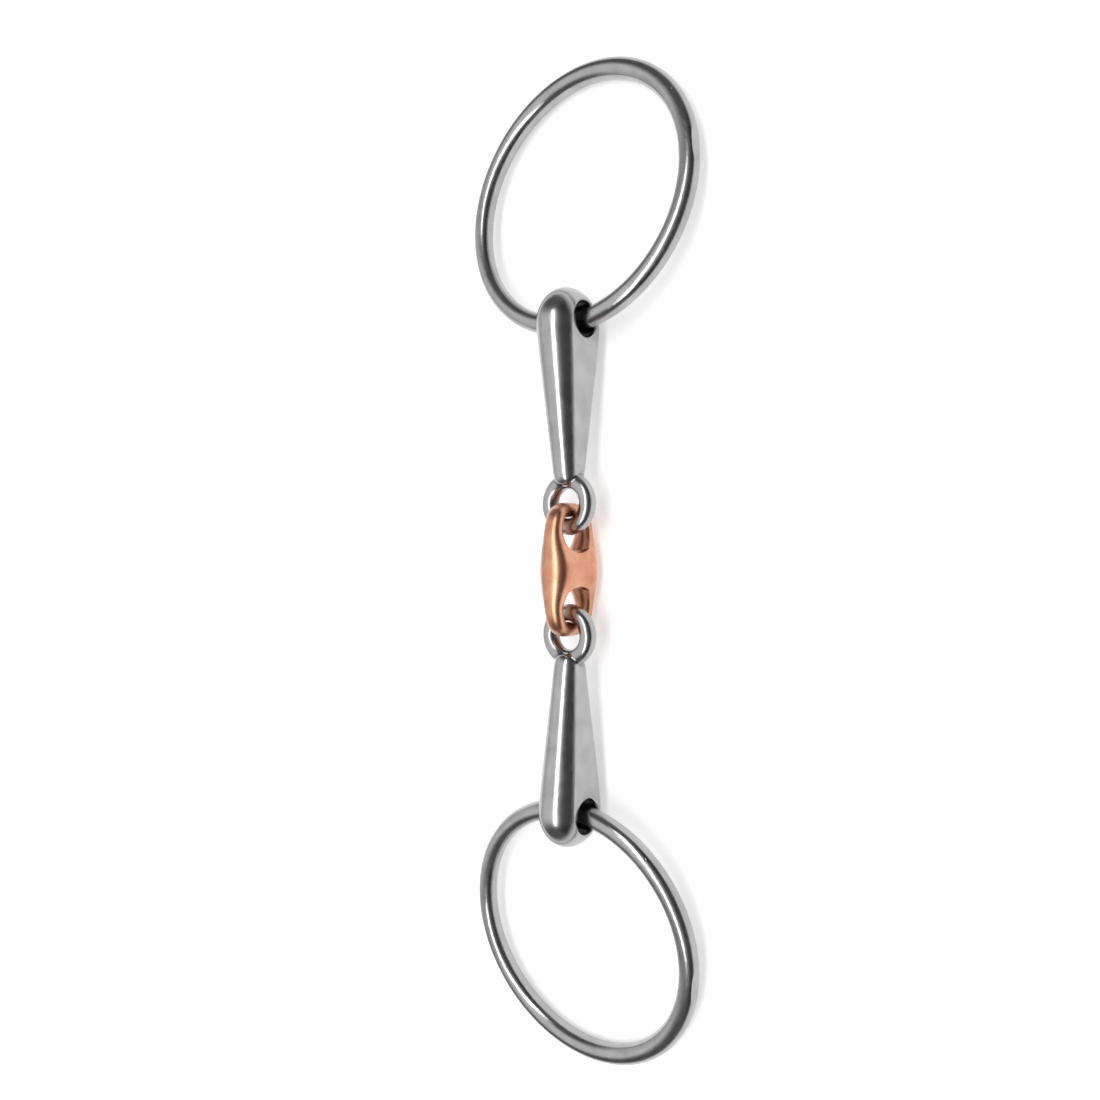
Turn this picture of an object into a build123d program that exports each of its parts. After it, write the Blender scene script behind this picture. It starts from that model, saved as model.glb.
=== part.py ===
from build123d import *
import math
import os

# Loose-ring snaffle bit with a double-jointed mouthpiece, lying on a flat surface.
# X runs along the mouthpiece, Y along the axes of the ring holes, Z up from the surface.
# The centre link sits over the origin. All sizes are millimetres.

os.makedirs("parts", exist_ok=True)

# Mouthpiece as a whole
MOUTH_WIDTH = 125.0  # between the inner edges of the two ring holes
AXIS_HEIGHT = 10.2  # centre line of the mouthpiece above the surface it lies on

# Steel rings
RING_OUTER_DIAMETER = 75.0
RING_WIRE_DIAMETER = 5.5
RING_SAG = 1.2  # the wire lies this far below the centre of its hole

# Steel arms
RING_HOLE_DIAMETER = 9.5
RING_HOLE_BEVEL = 0.5
FAT_END_HEIGHT = 2 * AXIS_HEIGHT
FAT_END_SETBACK = 1.0  # the round end is centred this much inward of the ring hole
FAT_END_THICKNESS = 12.4
FAT_END_FLAT = 11.6  # height of the flat that is ground on each side
NECK_HEIGHT = 8.6
NECK_THICKNESS = 7.9
NECK_FLAT = 2.2
FLAT_EDGE_ROUNDING = 0.5
NECK_DEPTH = 1.6  # how far the neck is sunk past the middle of the eye's bar
NECK_ROUNDING = 0.9  # length over which its sunk end fills out
EYE_BAR_DIAMETER = 4.7
EYE_RADIUS = 6.3  # from the middle of the eye to the middle of its bar
EYE_BLEND = 0.6
SHAFT_STEPS = 24  # evenly spaced sections from the neck to the fat end

# Copper centre link
LINK_LENGTH = 36.6
LINK_HEIGHT = 18.8
LINK_THICKNESS = 10.1
RIM_DEPTH = 8.8  # each rim at the middle of the link, in the plane of the holes
LINK_CORNER_POWER = 3.4  # 2 would make the outline an ellipse, more makes it squarer
END_BAR_DEPTH = 4.0  # copper beyond each hole, along X
END_BAR_THICKNESS = 5.4
WEB_LENGTH = 9.4  # copper between the two holes at mid height
LINK_HOLE_HEIGHT = 13.6
WEB_STEP = 0.15  # the web lies this much below the widest line of the rims
SWELL_REACH = 12.0  # distance from the middle over which the link thins down to its end bars
LINK_PLAY = 0.25  # between an eye and the end of its hole

# Derived positions
RING_WIRE_RADIUS = RING_WIRE_DIAMETER / 2
RING_RADIUS = RING_OUTER_DIAMETER / 2 - RING_WIRE_RADIUS
RING_HOLE_X = (MOUTH_WIDTH + RING_HOLE_DIAMETER) / 2
FAT_END_X = RING_HOLE_X - FAT_END_SETBACK
EYE_BAR_X = LINK_LENGTH / 2 - END_BAR_DEPTH - LINK_PLAY - EYE_BAR_DIAMETER / 2
EYE_X = EYE_BAR_X + EYE_RADIUS
NECK_X = EYE_X + EYE_RADIUS
LINK_HOLE_LENGTH = LINK_LENGTH / 2 - END_BAR_DEPTH - WEB_LENGTH / 2
LINK_HOLE_X = (WEB_LENGTH + LINK_HOLE_LENGTH) / 2


def make_ring():
    """One closed ring of round wire, tilted so that its far side touches the surface."""
    wire_height = AXIS_HEIGHT - RING_SAG
    tilt = math.asin((wire_height - RING_WIRE_RADIUS) / (2 * RING_RADIUS))
    ring = Pos(RING_RADIUS, 0, 0) * Torus(RING_RADIUS, RING_WIRE_RADIUS)
    ring = Rot(0, math.degrees(tilt), 0) * ring
    return Pos(RING_HOLE_X, 0, wire_height) * ring


def flat_sided_oval(height, thickness, flat):
    """Oval as tall as height, with each side cut to a flat, and the edges of the flats rounded."""
    width = thickness / math.sqrt(1 - (flat / height) ** 2)
    oval = Ellipse(height / 2, width / 2) & Rectangle(height, thickness)
    return fillet(oval.vertices(), FLAT_EDGE_ROUNDING)


def make_shaft():
    """The tapering length of the arm, from inside the eye's bar out to the ring hole."""
    start = NECK_X - NECK_DEPTH
    sections = []
    for step in range(SHAFT_STEPS + 1):
        x = start + (FAT_END_X - start) * step / SHAFT_STEPS
        part = (x - NECK_X) / (FAT_END_X - NECK_X)
        # an even taper that levels off where it meets the fat end
        swell = 1.06 * part - 0.06 * part**12
        filled = 1 - 0.5 * math.exp((start - x) / NECK_ROUNDING)
        height = NECK_HEIGHT + (FAT_END_HEIGHT - NECK_HEIGHT) * swell
        thickness = NECK_THICKNESS + (FAT_END_THICKNESS - NECK_THICKNESS) * swell
        flat = NECK_FLAT + (FAT_END_FLAT - NECK_FLAT) * swell
        plane = Plane(origin=(x, 0, AXIS_HEIGHT), x_dir=(0, 0, 1), z_dir=(1, 0, 0))
        sections.append(plane * flat_sided_oval(filled * height, filled * thickness, flat))
    return loft(sections)


def make_fat_end():
    """Half-round end beyond the ring hole, with the same section as the end of the shaft."""
    profile = flat_sided_oval(FAT_END_HEIGHT, FAT_END_THICKNESS, FAT_END_FLAT)
    profile = profile & Pos(FAT_END_HEIGHT / 2, 0) * Rectangle(FAT_END_HEIGHT, FAT_END_HEIGHT)
    end = revolve(Rot(0, -90, 0) * profile, axis=Axis.Y, revolution_arc=180)
    return Pos(FAT_END_X, 0, AXIS_HEIGHT) * end


def make_ring_hole():
    """The space of the ring hole, along Y, with a bevelled mouth at each side of the arm."""
    radius = RING_HOLE_DIAMETER / 2
    inner = FAT_END_THICKNESS / 2 - RING_HOLE_BEVEL
    outer = FAT_END_THICKNESS / 2 + RING_HOLE_BEVEL
    wide = radius + 2 * RING_HOLE_BEVEL
    outline = Polyline((0, 0), (radius, 0), (radius, inner), (wide, outer), (0, outer), (0, 0))
    half_hole = revolve(make_face(outline), axis=Axis.Y)
    hole = half_hole + mirror(half_hole, about=Plane.XZ)
    return Pos(RING_HOLE_X, 0, AXIS_HEIGHT) * hole


def is_eye_seam(edge):
    """True for the edges where the shaft runs into the bar of the eye."""
    return edge.center().X < NECK_X + EYE_BAR_DIAMETER / 2 and edge.geom_type != GeomType.CIRCLE


def make_arm():
    """One arm of the mouthpiece: round eye, tapering shaft and fat end with the ring hole."""
    arm = make_shaft() + make_fat_end() - make_ring_hole()
    arm = arm + Pos(EYE_X, 0, AXIS_HEIGHT) * Torus(EYE_RADIUS, EYE_BAR_DIAMETER / 2)
    return fillet([edge for edge in arm.edges() if is_eye_seam(edge)], EYE_BLEND)


def link_swell(x):
    """How far the link has grown from its end bars (0) to its middle (1)."""
    reach = min(abs(x) / SWELL_REACH, 1.0)
    return math.cos(0.5 * math.pi * reach) ** 2


def link_half_thickness(x):
    """Half of the link's thickness along Y, at x."""
    grown = (LINK_THICKNESS - END_BAR_THICKNESS) * link_swell(x)
    return (END_BAR_THICKNESS + grown) / 2


def rim_section(angle):
    """Oval section of the link's outer rim, where it crosses this angle about the link's centre."""
    a, b, n = LINK_LENGTH / 2, LINK_HEIGHT / 2, LINK_CORNER_POWER
    c, s = math.cos(angle), math.sin(angle)
    reach = (abs(c / a) ** n + abs(s / b) ** n) ** (-1 / n)
    x, z = reach * c, reach * s
    outward = Vector(abs(x / a) ** (n - 1) / a, 0, math.copysign(abs(z / b) ** (n - 1) / b, z))
    outward = outward.normalized()
    half_depth = (END_BAR_DEPTH + (RIM_DEPTH - END_BAR_DEPTH) * link_swell(x)) / 2
    centre = Vector(x, 0, z + AXIS_HEIGHT) - outward * half_depth
    plane = Plane(origin=centre, x_dir=outward, z_dir=outward.cross(Vector(0, 1, 0)))
    return plane * Ellipse(half_depth, link_half_thickness(x))


def make_web():
    """The middle of the link, between its two holes, a little below the rims."""
    xs = [step * LINK_HOLE_X / 4 for step in range(-4, 5)]
    front = [(x, WEB_STEP - link_half_thickness(x)) for x in xs]
    back = [(x, -y) for x, y in reversed(front)]
    outline = Spline(*front) + Line(front[-1], back[0]) + Spline(*back) + Line(back[-1], front[0])
    web = extrude(make_face(outline), (LINK_HEIGHT - RIM_DEPTH) / 2, both=True)
    hole = Rot(90, 0, 0) * extrude(Ellipse(LINK_HOLE_LENGTH / 2, LINK_HOLE_HEIGHT / 2), LINK_THICKNESS, both=True)
    for side in (-1, 1):
        web = web - Pos(side * LINK_HOLE_X, 0, 0) * hole
    return Pos(0, 0, AXIS_HEIGHT) * web


def make_link():
    """Lozenge with two through-holes: a closed rim around a thick web."""
    angles = [math.radians(90 - 10 * step) for step in range(19)]
    half_rim = loft([rim_section(angle) for angle in angles])
    return half_rim + make_web() + mirror(half_rim, about=Plane.YZ)


ring = make_ring()
arm = make_arm()
export_step(ring, "parts/right_ring.step")
export_step(mirror(ring, about=Plane.YZ), "parts/left_ring.step")
export_step(arm, "parts/right_arm.step")
export_step(mirror(arm, about=Plane.YZ), "parts/left_arm.step")
link = make_link()
export_step(link, "parts/centre_link.step")
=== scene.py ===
import math

import bpy
import numpy
from mathutils import Matrix, Vector


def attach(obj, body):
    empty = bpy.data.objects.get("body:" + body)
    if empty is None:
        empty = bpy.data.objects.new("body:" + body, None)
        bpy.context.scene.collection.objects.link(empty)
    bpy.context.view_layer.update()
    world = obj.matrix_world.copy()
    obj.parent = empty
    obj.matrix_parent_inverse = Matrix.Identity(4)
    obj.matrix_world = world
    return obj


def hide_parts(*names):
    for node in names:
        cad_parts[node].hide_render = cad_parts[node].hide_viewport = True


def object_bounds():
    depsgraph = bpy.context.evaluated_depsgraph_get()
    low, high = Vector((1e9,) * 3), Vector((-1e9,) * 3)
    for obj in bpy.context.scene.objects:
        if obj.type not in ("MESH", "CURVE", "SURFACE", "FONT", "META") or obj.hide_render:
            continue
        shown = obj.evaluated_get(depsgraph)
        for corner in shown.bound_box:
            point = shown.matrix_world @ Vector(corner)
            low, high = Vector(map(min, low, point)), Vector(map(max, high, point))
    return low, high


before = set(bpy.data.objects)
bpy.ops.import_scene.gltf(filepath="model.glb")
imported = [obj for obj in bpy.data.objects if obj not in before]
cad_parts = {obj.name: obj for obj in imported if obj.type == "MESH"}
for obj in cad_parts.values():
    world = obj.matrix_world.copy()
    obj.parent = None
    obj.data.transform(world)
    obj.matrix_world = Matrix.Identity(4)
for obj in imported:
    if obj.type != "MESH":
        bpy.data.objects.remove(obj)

# A loose-ring snaffle bit lying on a pale table, seen from above and to one side.
# Lengths are metres unless a name says otherwise. X runs along the mouthpiece, Z is up.

CAD_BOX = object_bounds()

# Fineness of the visible meshes, and how far their seams are blended
VOXEL_SIZES = {"ring": 0.00028, "arm": 0.00022, "link": 0.00020}
BLEND_PASSES = {"ring": 6, "arm": 7, "link": 8}

# Painted shade: the base colour is darkened in the hollows, most where they are deepest
RECESS_LAYER = "recess"
RECESS_PASSES = 12
RECESS_DEPTH = 0.00012
RECESS_SHADE_BRIGHTNESS = 0.35

# Ground weld on the near side of each ring, given for the right ring
WELD_CENTRE = Vector((0.1073, -0.0343, 0.0054))  # middle of the wire
WELD_FACING = Vector((0.14, -0.93, 0.34))
WELD_FLAT = 0.0025  # from the middle of the wire out to the flat
WELD_REACH = 0.007

# Table top
FLOOR_SIZE = 3.0  # from the middle to each edge
FLOOR_GAP = 0.0001  # the bit lies this far above it
FLOOR_GLOW = 0.44

# Brightness of the surroundings from the camera's side (-1) to the far side (1)
WALL_LEVELS = (
    (-1.0, 0.08),
    (-0.65, 0.10),
    (-0.4, 0.5),
    (-0.1, 1.6),
    (0.3, 1.7),
    (0.6, 1.2),
    (0.85, 0.9),
    (1.0, 0.7),
)
WALL_FADE_START = 0.3  # the wall fades between these, to the left and right
WALL_FADE_END = 0.75
WALL_FADED = 0.14
HORIZON_LEVEL = 0.85  # the pale floor sweeps up a little all round
HORIZON_TOP = 0.25
BACKDROP_LEVEL = 0.85  # the pale backdrop that stands behind the floor

# Camera, fitted to the photograph's viewing angle
CAMERA_TARGET = Vector((0.0, 0.0, 0.0102))
CAMERA_DISTANCE = 0.225
CAMERA_LEAN = 37.02  # degrees from straight down, towards -Y
CAMERA_ALONG = 1.66  # degrees towards +X
CAMERA_ROLL = -0.22
SENSOR_WIDTH = 36.0  # millimetres
FOCAL_LENGTH = 26.846  # millimetres
SHIFT_X = -0.01736  # these two are parts of the picture's width
SHIFT_Y = 0.01782


def start_material(name, base_color, metallic, roughness):
    """A material with one Principled shader, and that shader."""
    material = bpy.data.materials.new(name)
    material.use_nodes = True
    shader = material.node_tree.nodes["Principled BSDF"]
    shader.inputs["Base Color"].default_value = (*base_color, 1.0)
    shader.inputs["Metallic"].default_value = metallic
    shader.inputs["Roughness"].default_value = roughness
    return material, shader


def add_noise(tree, scale, detail, stretch=(1.0, 1.0, 1.0)):
    """A noise texture in the piece's own coordinates, finer along the larger numbers of stretch."""
    coordinates = tree.nodes.new("ShaderNodeTexCoord")
    mapping = tree.nodes.new("ShaderNodeMapping")
    mapping.inputs["Scale"].default_value = stretch
    tree.links.new(coordinates.outputs["Object"], mapping.inputs["Vector"])
    noise = tree.nodes.new("ShaderNodeTexNoise")
    noise.inputs["Scale"].default_value = scale
    noise.inputs["Detail"].default_value = detail
    tree.links.new(mapping.outputs["Vector"], noise.inputs["Vector"])
    return noise


def add_ramp(tree, source, low, high, low_color, high_color):
    """A two-stop colour ramp on a texture's output."""
    ramp = tree.nodes.new("ShaderNodeValToRGB")
    ramp.color_ramp.elements[0].position = low
    ramp.color_ramp.elements[0].color = (*low_color, 1.0)
    ramp.color_ramp.elements[1].position = high
    ramp.color_ramp.elements[1].color = (*high_color, 1.0)
    tree.links.new(source, ramp.inputs["Fac"])
    return ramp


def add_bump(tree, height, distance, strength, normal=None):
    """A bump node, on top of another bump if one is given."""
    bump = tree.nodes.new("ShaderNodeBump")
    bump.inputs["Distance"].default_value = distance
    bump.inputs["Strength"].default_value = strength
    tree.links.new(height, bump.inputs["Height"])
    if normal is not None:
        tree.links.new(normal, bump.inputs["Normal"])
    return bump


def add_map_range(tree, source, from_min, from_max, to_min, to_max):
    """A change of range on a number, in a straight line unless it is set otherwise."""
    change = tree.nodes.new("ShaderNodeMapRange")
    change.inputs["From Min"].default_value = from_min
    change.inputs["From Max"].default_value = from_max
    change.inputs["To Min"].default_value = to_min
    change.inputs["To Max"].default_value = to_max
    tree.links.new(source, change.inputs["Value"])
    return change


def add_math(tree, operation, first, second):
    """A sum, product or the like of two outputs."""
    node = tree.nodes.new("ShaderNodeMath")
    node.operation = operation
    tree.links.new(first, node.inputs[0])
    tree.links.new(second, node.inputs[1])
    return node


def add_tone_and_recess_shade(tree, shader, dark, light):
    """Cloudy colour between dark and light, with painted shade darkening the recesses."""
    clouds = add_noise(tree, 160.0, 4.0)
    tone = add_ramp(tree, clouds.outputs["Fac"], 0.3, 0.7, dark, light)
    # painted shade: the base colour is darkened where the piece sits deep in a hollow
    recess = tree.nodes.new("ShaderNodeAttribute")
    recess.attribute_name = RECESS_LAYER
    shade_level = add_map_range(tree, recess.outputs["Fac"], 0.0, 1.0, 1.0, RECESS_SHADE_BRIGHTNESS)
    painted_shade = tree.nodes.new("ShaderNodeVectorMath")
    painted_shade.operation = "SCALE"
    tree.links.new(tone.outputs["Color"], painted_shade.inputs["Vector"])
    tree.links.new(shade_level.outputs["Result"], painted_shade.inputs["Scale"])
    tree.links.new(painted_shade.outputs["Vector"], shader.inputs["Base Color"])


def add_gloss(tree, shader, roughness, spread):
    """Uneven gloss, as the last wipe of polish leaves it."""
    smears = add_noise(tree, 420.0, 5.0)
    low = (roughness - spread,) * 3
    high = (roughness + spread,) * 3
    gloss = add_ramp(tree, smears.outputs["Fac"], 0.3, 0.75, low, high)
    tree.links.new(gloss.outputs["Color"], shader.inputs["Roughness"])


def add_relief(tree, shader, stretch):
    """Shallow dents, fine polishing lines and small casting pits."""
    dents = add_noise(tree, 90.0, 1.0)
    dent_bump = add_bump(tree, dents.outputs["Fac"], 0.0006, 0.10)
    lines = add_noise(tree, 1400.0, 3.0, stretch)
    line_bump = add_bump(tree, lines.outputs["Fac"], 0.00003, 0.25, dent_bump.outputs["Normal"])
    pits = add_noise(tree, 520.0, 2.0)
    pit_shape = add_ramp(tree, pits.outputs["Fac"], 0.20, 0.25, (0.0,) * 3, (1.0,) * 3)
    pit_bump = add_bump(tree, pit_shape.outputs["Color"], 0.0001, 0.5, line_bump.outputs["Normal"])
    tree.links.new(pit_bump.outputs["Normal"], shader.inputs["Normal"])


def polished_metal(name, dark, light, roughness, spread, stretch):
    """Polished metal, with its polishing lines drawn out along the smallest number of stretch."""
    material, shader = start_material(name, light, 1.0, roughness)
    add_tone_and_recess_shade(material.node_tree, shader, dark, light)
    add_gloss(material.node_tree, shader, roughness, spread)
    add_relief(material.node_tree, shader, stretch)
    return material


def make_ring_steel():
    """Bright steel of the rings, polished all round."""
    return polished_metal(
        "ring_steel",
        dark=(0.36, 0.36, 0.365),
        light=(0.44, 0.44, 0.445),
        roughness=0.20,
        spread=0.05,
        stretch=(1, 1, 1),
    )


def make_arm_steel():
    """Bright steel of the arms, polished along their length."""
    return polished_metal(
        "arm_steel",
        dark=(0.36, 0.36, 0.365),
        light=(0.45, 0.45, 0.455),
        roughness=0.20,
        spread=0.05,
        stretch=(0.1, 1, 1),
    )


def make_copper():
    """Satin copper of the link, with the pale sheen of its last polish."""
    copper = polished_metal(
        "copper",
        dark=(0.52, 0.19, 0.095),
        light=(0.75, 0.36, 0.21),
        roughness=0.30,
        spread=0.05,
        stretch=(0.2, 1, 1),
    )
    shader = copper.node_tree.nodes["Principled BSDF"]
    shader.inputs["Coat Weight"].default_value = 0.7
    shader.inputs["Coat Roughness"].default_value = 0.3
    shader.inputs["Coat IOR"].default_value = 1.6
    return copper


def mark_recesses(mesh):
    """Store how deep each point sits in a hollow, from 0 on open surface to 1 in the tightest corners;
    this sets the painted shade in the hollows.
    """
    count = len(mesh.vertices)
    points = numpy.empty(count * 3)
    normals = numpy.empty(count * 3)
    mesh.vertices.foreach_get("co", points)
    mesh.vertices.foreach_get("normal", normals)
    points = points.reshape(count, 3)
    normals = normals.reshape(count, 3)
    ends = numpy.empty(len(mesh.edges) * 2, dtype=numpy.int64)
    mesh.edges.foreach_get("vertices", ends)
    ends = ends.reshape(-1, 2)
    neighbours = numpy.bincount(ends.ravel(), minlength=count)
    spread = points.copy()
    for _ in range(RECESS_PASSES):
        total = numpy.zeros((count, 3))
        for axis in range(3):
            total[:, axis] = numpy.bincount(ends[:, 0], spread[ends[:, 1], axis], count)
            total[:, axis] += numpy.bincount(ends[:, 1], spread[ends[:, 0], axis], count)
        spread = total / neighbours[:, None]
    depth = ((spread - points) * normals).sum(axis=1)
    depth = numpy.clip(depth / RECESS_DEPTH, 0.0, 1.0)
    layer = mesh.attributes.new(RECESS_LAYER, "FLOAT", "POINT")
    layer.data.foreach_set("value", depth.astype(numpy.float32))


def grind_weld(piece, side):
    """Cut the ring's wire back to the small flat where its weld has been ground smooth."""
    to_local = piece.matrix_world.inverted()
    centre = to_local @ Vector((side * WELD_CENTRE.x, WELD_CENTRE.y, WELD_CENTRE.z))
    facing = Vector((side * WELD_FACING.x, WELD_FACING.y, WELD_FACING.z))
    facing = (to_local.to_3x3() @ facing).normalized()
    for vertex in piece.data.vertices:
        away = vertex.co - centre
        excess = away.dot(facing) - WELD_FLAT
        if excess > 0.0 and away.length < WELD_REACH:
            vertex.co -= excess * facing


def refine_mesh(piece, kind):
    """Remesh the piece finely, and blend its seams as forging and polishing leave them."""
    remesh = piece.modifiers.new("fine_mesh", "REMESH")
    remesh.mode = "VOXEL"
    remesh.voxel_size = VOXEL_SIZES[kind]
    smooth = piece.modifiers.new("blend_seams", "SMOOTH")
    smooth.factor = 0.5
    smooth.iterations = BLEND_PASSES[kind]
    graph = bpy.context.evaluated_depsgraph_get()
    finished = bpy.data.meshes.new_from_object(piece.evaluated_get(graph))
    piece.modifiers.clear()
    piece.data = finished


def make_piece(node, name, kind, material):
    """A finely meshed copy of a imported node, which rides on the body of the same name."""
    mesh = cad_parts[node].data.copy()
    mesh.name = name
    piece = bpy.data.objects.new(name, mesh)
    piece.matrix_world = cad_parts[node].matrix_world.copy()
    bpy.context.scene.collection.objects.link(piece)
    refine_mesh(piece, kind)
    if kind == "ring":
        grind_weld(piece, 1.0 if node == "right_ring" else -1.0)
    mark_recesses(piece.data)
    piece.data.materials.clear()
    piece.data.materials.append(material)
    for polygon in piece.data.polygons:
        polygon.use_smooth = True
    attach(piece, node)
    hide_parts(node)


def make_floor():
    """The pale table top, lit from below, at the height the bit rests on."""
    mesh = bpy.data.meshes.new("table_top")
    size = FLOOR_SIZE
    corners = [(-size, -size, 0.0), (size, -size, 0.0), (size, size, 0.0), (-size, size, 0.0)]
    mesh.from_pydata(corners, [], [(0, 1, 2, 3)])
    floor = bpy.data.objects.new("table_top", mesh)
    bpy.context.scene.collection.objects.link(floor)
    floor.location.z = CAD_BOX[0][2] - FLOOR_GAP
    material, shader = start_material("table_top", (0.9, 0.9, 0.9), 0.0, 0.6)
    shader.inputs["Emission Color"].default_value = (1.0, 1.0, 1.0, 1.0)
    shader.inputs["Emission Strength"].default_value = FLOOR_GLOW
    floor.data.materials.append(material)


def make_softbox(name, location, target, width, height, power):
    """A soft rectangular studio light, aimed at a point."""
    light = bpy.data.lights.new(name, "AREA")
    light.shape = "RECTANGLE"
    light.size = width
    light.size_y = height
    light.energy = power
    lamp = bpy.data.objects.new(name, light)
    lamp.location = location
    lamp.rotation_mode = "QUATERNION"
    lamp.rotation_quaternion = (Vector(target) - Vector(location)).to_track_quat("-Z", "Y")
    bpy.context.scene.collection.objects.link(lamp)


def add_wall(tree, split):
    """The soft grey wall beyond the bit, which fades to the left and right."""
    depth = add_map_range(tree, split.outputs["Y"], -1.0, 1.0, 0.0, 1.0)
    wall = tree.nodes.new("ShaderNodeValToRGB")
    wall.color_ramp.interpolation = "B_SPLINE"
    while len(wall.color_ramp.elements) < len(WALL_LEVELS):
        wall.color_ramp.elements.new(0.5)
    for stop, (side, level) in zip(wall.color_ramp.elements, WALL_LEVELS):
        stop.position = (side + 1.0) / 2
        stop.color = (level, level, level, 1.0)
    tree.links.new(depth.outputs["Result"], wall.inputs["Fac"])
    sideways = tree.nodes.new("ShaderNodeMath")
    sideways.operation = "ABSOLUTE"
    tree.links.new(split.outputs["X"], sideways.inputs[0])
    fade = add_map_range(tree, sideways.outputs["Value"], WALL_FADE_START, WALL_FADE_END, 1.0, WALL_FADED)
    fade.interpolation_type = "SMOOTHSTEP"
    return add_math(tree, "MULTIPLY", wall.outputs["Color"], fade.outputs["Result"])


def make_world():
    """Studio surroundings: the grey wall, a darker room on the other sides and a pale backdrop."""
    world = bpy.data.worlds.new("studio")
    world.use_nodes = True
    tree = world.node_tree
    direction = tree.nodes.new("ShaderNodeTexCoord")
    split = tree.nodes.new("ShaderNodeSeparateXYZ")
    tree.links.new(direction.outputs["Generated"], split.inputs["Vector"])
    wall = add_wall(tree, split)
    sweep = add_map_range(tree, split.outputs["Z"], 0.0, HORIZON_TOP, HORIZON_LEVEL, 0.0)
    sweep.interpolation_type = "SMOOTHSTEP"
    room = add_math(tree, "MAXIMUM", wall.outputs["Value"], sweep.outputs["Result"])

    # the steel reflects the room, and only the picture's background shows the backdrop
    rays = tree.nodes.new("ShaderNodeLightPath")
    backdrop = add_map_range(tree, rays.outputs["Is Camera Ray"], 0.0, 1.0, 0.0, BACKDROP_LEVEL)
    level = add_math(tree, "MAXIMUM", room.outputs["Value"], backdrop.outputs["Result"])
    background = tree.nodes["Background"]
    background.inputs["Color"].default_value = (1.0, 1.0, 1.0, 1.0)
    tree.links.new(level.outputs["Value"], background.inputs["Strength"])
    bpy.context.scene.world = world


def make_camera():
    """The camera, turned so that the mouthpiece stands upright in the picture."""
    lean = math.radians(CAMERA_LEAN)
    along = math.radians(CAMERA_ALONG)
    roll = math.radians(CAMERA_ROLL)
    away = Vector((math.sin(along), -math.sin(lean) * math.cos(along), math.cos(lean) * math.cos(along)))
    right = Vector((0.0, -math.cos(lean), -math.sin(lean)))
    up = away.cross(right)
    across = right * math.cos(roll) + up * math.sin(roll)
    upright = up * math.cos(roll) - right * math.sin(roll)
    turn = Matrix((across, upright, away)).transposed().to_4x4()
    data = bpy.data.cameras.new("camera")
    data.sensor_width = SENSOR_WIDTH
    data.lens = FOCAL_LENGTH
    data.shift_x = SHIFT_X
    data.shift_y = SHIFT_Y
    data.clip_start = 0.01
    data.clip_end = 20.0
    camera = bpy.data.objects.new("camera", data)
    camera.matrix_world = Matrix.Translation(CAMERA_TARGET + away * CAMERA_DISTANCE) @ turn
    bpy.context.scene.collection.objects.link(camera)
    bpy.context.scene.camera = camera


ring_steel = make_ring_steel()
arm_steel = make_arm_steel()
for side in ("left", "right"):
    make_piece(f"{side}_ring", f"{side}_ring_wire", "ring", ring_steel)
    make_piece(f"{side}_arm", f"{side}_arm_forging", "arm", arm_steel)
make_piece("centre_link", "centre_link_copper", "link", make_copper())

make_floor()
make_world()
make_softbox(
    "overhead",
    location=(0.0, -0.08, 0.55),
    target=(0.0, 0.0, 0.0),
    width=0.9,
    height=0.16,
    power=1.7,
)
make_camera()
bpy.context.scene.view_settings.view_transform = "Standard"
